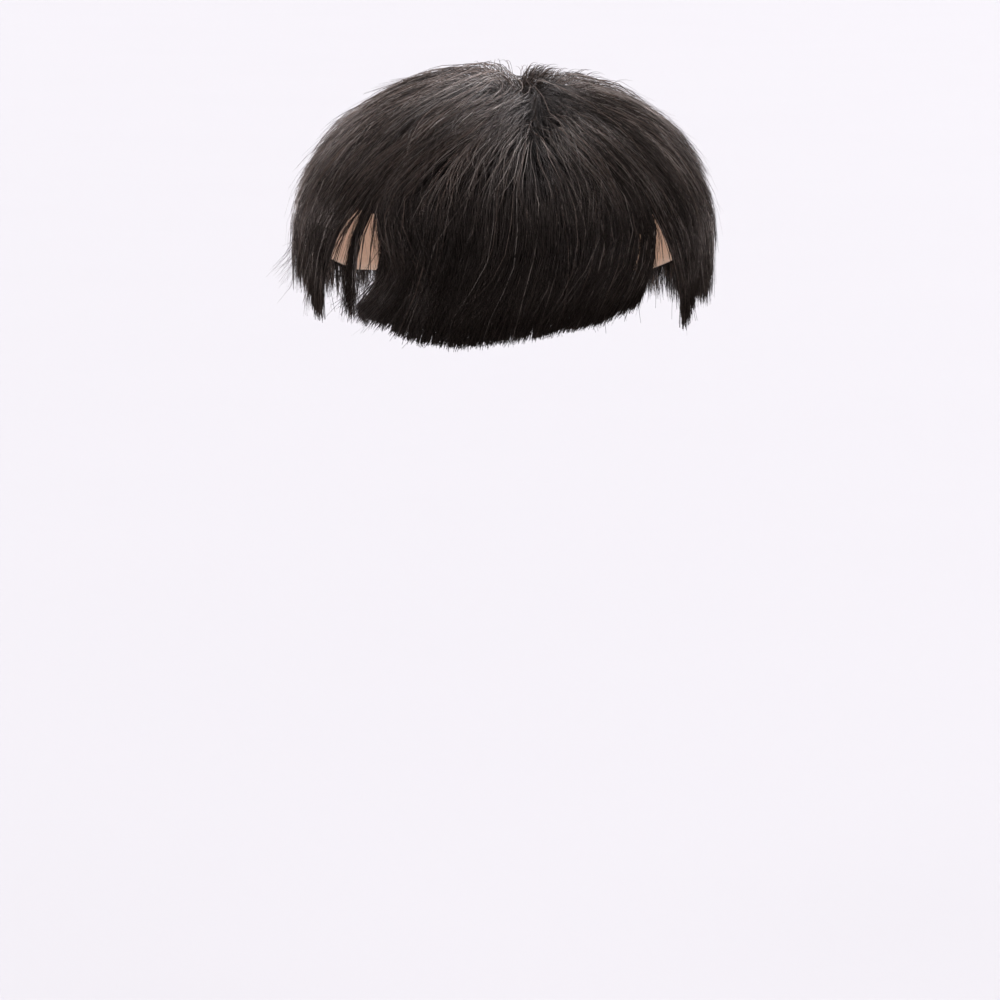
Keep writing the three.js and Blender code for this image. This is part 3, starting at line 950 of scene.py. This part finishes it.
class HAIRPIECE_PG_hair(bpy.types.PropertyGroup):
    """Sizes, manners and colours of the strands."""

    strand_width: FloatProperty(
        name="Strand Width", default=0.00023, unit="LENGTH",
        description="Width of one strand at its thickest",
    )
    foot: FloatProperty(
        name="Root Height", default=0.00125, unit="LENGTH",
        description="Height of the roots over the hollow",
    )
    length_run: FloatProperty(
        name="Layer Length", default=0.75,
        description="Length of the top layer, as a run along the hair path",
    )
    lock_pull: FloatProperty(
        name="Lock Pull", default=0.4, subtype="FACTOR",
        description="How far wisps draw together towards a lock's tip",
    )
    wisp_pull: FloatProperty(
        name="Wisp Pull", default=0.85, subtype="FACTOR",
        description="How far strands draw together towards a wisp's tip",
    )
    swirl: FloatProperty(
        name="Whorl Swirl", default=math.radians(26), subtype="ANGLE",
        description="Turn of the hair round the whorl",
    )
    flyaway_share: FloatProperty(
        name="Flyaways", default=0.07, subtype="FACTOR",
        description="Share of strands that stand off the rest",
    )
    gloss_roughness: FloatProperty(
        name="Gloss Roughness", default=0.26, subtype="FACTOR",
        description="Roughness of the strands' gloss",
    )
    gloss_tint: FloatVectorProperty(
        name="Gloss Tint", default=(1.0, 0.8, 0.72), subtype="COLOR",
        description="Tint of the strands' gloss",
    )
    dark_colour: FloatVectorProperty(
        name="Dark Colour", default=(0.006, 0.0045, 0.0038), subtype="COLOR",
        description="Colour of the darkest strands",
    )
    brown_colour: FloatVectorProperty(
        name="Brown Colour", default=(0.045, 0.032, 0.025), subtype="COLOR",
        description="Colour of the brownest strands",
    )
    # Painted glint: light brown of the glint strands by the whorl.
    brown_glint_colour: FloatVectorProperty(
        name="Light Brown Colour", default=(0.15, 0.105, 0.085), subtype="COLOR",
        description="Colour of the few light brown strands",
    )
    # Painted glint: light grey of the glint strands.
    light_colour: FloatVectorProperty(
        name="Light Colour", default=(0.24, 0.21, 0.19), subtype="COLOR",
        description="Colour of the few light strands",
    )
    short_share: FloatProperty(
        name="Short Strands", default=0.4, subtype="FACTOR",
        description="Share of upper strands that end early, on top of the rest",
    )
    # Painted glints: share of strands drawn light.
    glint_share: FloatProperty(
        name="Light Strands", default=0.1, subtype="FACTOR",
        description="Share of strands that are light",
    )
    tip_colour: FloatVectorProperty(
        name="Tip Colour", default=(0.03, 0.021, 0.016), subtype="COLOR",
        description="Colour the tips fade towards",
    )


class HAIRPIECE_PG_base(bpy.types.PropertyGroup):
    """Sizes and colours of the net base."""

    wall: FloatProperty(
        name="Wall", default=0.0012, unit="LENGTH",
        description="Thickness of the base",
    )
    net_pitch: FloatProperty(
        name="Net Pitch", default=0.0014, unit="LENGTH",
        description="Size of one cell of the net",
    )
    segments: IntProperty(
        name="Segments", default=96,
        description="Faces round the base",
    )
    rings: IntProperty(
        name="Rings", default=64,
        description="Rings of the round form that the base is shaped from",
    )
    skin_colour: FloatVectorProperty(
        name="Skin Colour", default=(0.64, 0.43, 0.3), subtype="COLOR",
        description="Colour of the net's film",
    )
    thread_colour: FloatVectorProperty(
        name="Thread Colour", default=(0.74, 0.54, 0.4), subtype="COLOR",
        description="Colour of the net's threads",
    )
    # Partly the knots' colour, partly painted shade under the hair.
    knot_and_shade_colour: FloatVectorProperty(
        name="Knot Colour", default=(0.02, 0.015, 0.012), subtype="COLOR",
        description="Colour of the outer face under the hair",
    )


class HAIRPIECE_PG_stage(bpy.types.PropertyGroup):
    """Camera, floor and light."""

    distance: FloatProperty(
        name="Distance", default=1.6, unit="LENGTH",
        description="Camera distance",
    )
    elevation: FloatProperty(
        name="Elevation", default=math.radians(9), subtype="ANGLE",
        description="How far the camera looks down",
    )
    frame_width: FloatProperty(
        name="Frame Width", default=0.375, unit="LENGTH",
        description="Width of the view at the hairpiece",
    )
    aim: FloatVectorProperty(
        name="Aim", default=(-0.0011, 0.0, -0.151), subtype="TRANSLATION",
        description="Point at the middle of the view",
    )
    floor_depth: FloatProperty(
        name="Floor Depth", default=0.42, unit="LENGTH",
        description="Floor below the origin",
    )
    floor_size: FloatProperty(
        name="Floor Size", default=40.0, unit="LENGTH",
        description="Side of the floor",
    )
    floor_colour: FloatVectorProperty(
        name="Floor Colour", default=(0.47, 0.457, 0.467), subtype="COLOR",
        description="Colour of the floor",
    )
    softness: FloatProperty(
        name="Softness", default=0.012,
        description="How far each soft light spreads",
    )
    room_light: FloatProperty(
        name="Room Light", default=0.12,
        description="Strength of the light from all round",
    )
    light_colour: FloatVectorProperty(
        name="Light Colour", default=(0.97, 0.96, 1.0), subtype="COLOR",
        description="Colour of the light",
    )


class HAIRPIECE_PG_settings(bpy.types.PropertyGroup):
    """All settings of the hairpiece's looks."""

    hair: PointerProperty(type=HAIRPIECE_PG_hair)
    base: PointerProperty(type=HAIRPIECE_PG_base)
    stage: PointerProperty(type=HAIRPIECE_PG_stage)


class HAIRPIECE_OT_base(bpy.types.Operator):
    """Shape the thin net base from a round form and give it its wall"""

    bl_idname = "hairpiece.base"
    bl_label = "Base"

    def execute(self, context):
        base = settings_of(context).base
        shape = bmesh.new()
        bmesh.ops.create_uvsphere(shape, u_segments=base.segments, v_segments=base.rings, radius=1.0)
        whole = [*shape.verts, *shape.edges, *shape.faces]
        cut = {"plane_co": (0, 0, 0), "plane_no": (0, 0, -1), "clear_outer": True}
        bmesh.ops.bisect_plane(shape, geom=whole, dist=ON_CUT_PLANE, **cut)
        for vert in shape.verts:
            azimuth = np.array(math.degrees(math.atan2(vert.co.x, -vert.co.y)))
            share = math.acos(min(vert.co.z, 1.0)) / (math.pi / 2)
            run = share * run_at_depth(rim_depth(azimuth))
            point, _ = hollow_frame(azimuth, run)
            vert.co = Vector(point * MM)
        shape.normal_update()
        outer_layer = shape.verts.layers.float.new("outer_face")
        inner = set(shape.verts)
        bmesh.ops.solidify(shape, geom=list(shape.faces), thickness=-base.wall)
        for vert in shape.verts:
            vert[outer_layer] = 0.0 if vert in inner else 1.0
        bmesh.ops.recalc_face_normals(shape, faces=shape.faces)
        mesh = bpy.data.meshes.new("base_net")
        shape.to_mesh(mesh)
        shape.free()
        mesh.shade_smooth()
        piece = bpy.data.objects.new("base_net", mesh)
        context.scene.collection.objects.link(piece)
        finish_piece(piece, net_material(base), "base")
        return {"FINISHED"}


class HAIRPIECE_OT_strands(bpy.types.Operator):
    """Grow the strands of the crown, the fringe, the sides and the back"""

    bl_idname = "hairpiece.strands"
    bl_label = "Strands"

    def execute(self, context):
        hair = settings_of(context).hair
        material = hair_material(hair)
        for area in AREAS:
            paths, tone, width = grow(area, hair)
            if area.node == "crown_hair":
                grown = zip((paths, tone, width), grow_tuft(area.points, area.seed))
                paths, tone, width = (np.concatenate(pair) for pair in grown)
            piece = strand_piece(area.piece, paths, tone, width, area.tip_width, hair)
            finish_piece(piece, material, area.node)
        return {"FINISHED"}


class HAIRPIECE_OT_stage(bpy.types.Operator):
    """Lay the floor, set the lights and place the camera"""

    bl_idname = "hairpiece.stage"
    bl_label = "Stage"

    def execute(self, context):
        stage = settings_of(context).stage
        scene = context.scene
        self.lay_floor(scene, stage)
        self.light_world(scene, stage)
        scene.view_settings.view_transform = "Standard"
        data = bpy.data.cameras.new("photo_camera")
        data.sensor_width = SENSOR_WIDTH_MM
        data.lens = data.sensor_width * stage.distance / stage.frame_width
        camera = bpy.data.objects.new("photo_camera", data)
        back_off = Vector((0, -math.cos(stage.elevation), math.sin(stage.elevation)))
        camera.location = Vector(stage.aim) + stage.distance * back_off
        camera.rotation_euler = (-back_off).to_track_quat("-Z", "Y").to_euler()
        scene.collection.objects.link(camera)
        scene.camera = camera
        return {"FINISHED"}

    def lay_floor(self, scene, stage):
        """A plain square floor below the piece."""
        shape = bmesh.new()
        half_side = stage.floor_size / 2
        bmesh.ops.create_grid(shape, x_segments=FLOOR_GRID, y_segments=FLOOR_GRID, size=half_side)
        bmesh.ops.translate(shape, verts=shape.verts, vec=(0, 0, -stage.floor_depth))
        mesh = bpy.data.meshes.new("floor")
        shape.to_mesh(mesh)
        shape.free()
        mesh.materials.append(floor_material(stage))
        floor = bpy.data.objects.new("floor", mesh)
        floor.visible_glossy = False
        scene.collection.objects.link(floor)

    def light_world(self, scene, stage):
        """A dim white room with soft lights in it; the camera sees it evenly bright."""
        world = bpy.data.worlds.new("studio")
        world.use_nodes = True
        tree = world.node_tree
        place = add_node(tree, "ShaderNodeTexCoord").outputs["Generated"]
        steep = 1 / stage.softness
        total = stage.room_light
        for row in LIGHTS:
            aim = Vector((row.x, row.y, row.z)).normalized()
            facing = add_node(tree, "ShaderNodeVectorMath", {0: place, 1: aim}, operation="DOT_PRODUCT")
            spread = {0: facing.outputs["Value"], 1: steep, 2: -steep}
            away = add_node(tree, "ShaderNodeMath", spread, operation="MULTIPLY_ADD")
            glow = add_node(tree, "ShaderNodeMath", {0: away.outputs["Value"]}, operation="EXPONENT")
            added = {0: glow.outputs["Value"], 1: row.strength, 2: total}
            total = add_node(tree, "ShaderNodeMath", added, operation="MULTIPLY_ADD").outputs["Value"]
        seen = add_node(tree, "ShaderNodeLightPath").outputs["Is Camera Ray"]
        level = add_node(tree, "ShaderNodeMix", {"Factor": seen, "A": total, "B": SEEN_ROOM_LIGHT})
        back = next(node for node in tree.nodes if node.type == "BACKGROUND")
        set_inputs(tree, back, {"Color": (*stage.light_colour, 1), "Strength": level.outputs["Result"]})
        scene.world = world


class HAIRPIECE_PT_panel(bpy.types.Panel):
    """Lists the steps that make the hairpiece and its stage, with a button for each."""

    bl_idname = "HAIRPIECE_PT_panel"
    bl_label = "Hairpiece"
    bl_space_type = "VIEW_3D"
    bl_region_type = "UI"
    bl_category = "Hairpiece"

    def draw(self, context):
        for operator in OPERATORS:
            self.layout.operator(operator.bl_idname)


OPERATORS = (HAIRPIECE_OT_base, HAIRPIECE_OT_strands, HAIRPIECE_OT_stage)
CLASSES = (
    HAIRPIECE_PG_hair, HAIRPIECE_PG_base, HAIRPIECE_PG_stage, HAIRPIECE_PG_settings,
    *OPERATORS, HAIRPIECE_PT_panel,
)


def register():
    for cls in CLASSES:
        bpy.utils.register_class(cls)
    bpy.types.Scene.hairpiece = PointerProperty(type=HAIRPIECE_PG_settings)


def unregister():
    del bpy.types.Scene.hairpiece
    for cls in reversed(CLASSES):
        bpy.utils.unregister_class(cls)


def main():
    register()
    bpy.ops.hairpiece.base()
    bpy.ops.hairpiece.strands()
    bpy.ops.hairpiece.stage()


if __name__ == "__main__":
    main()
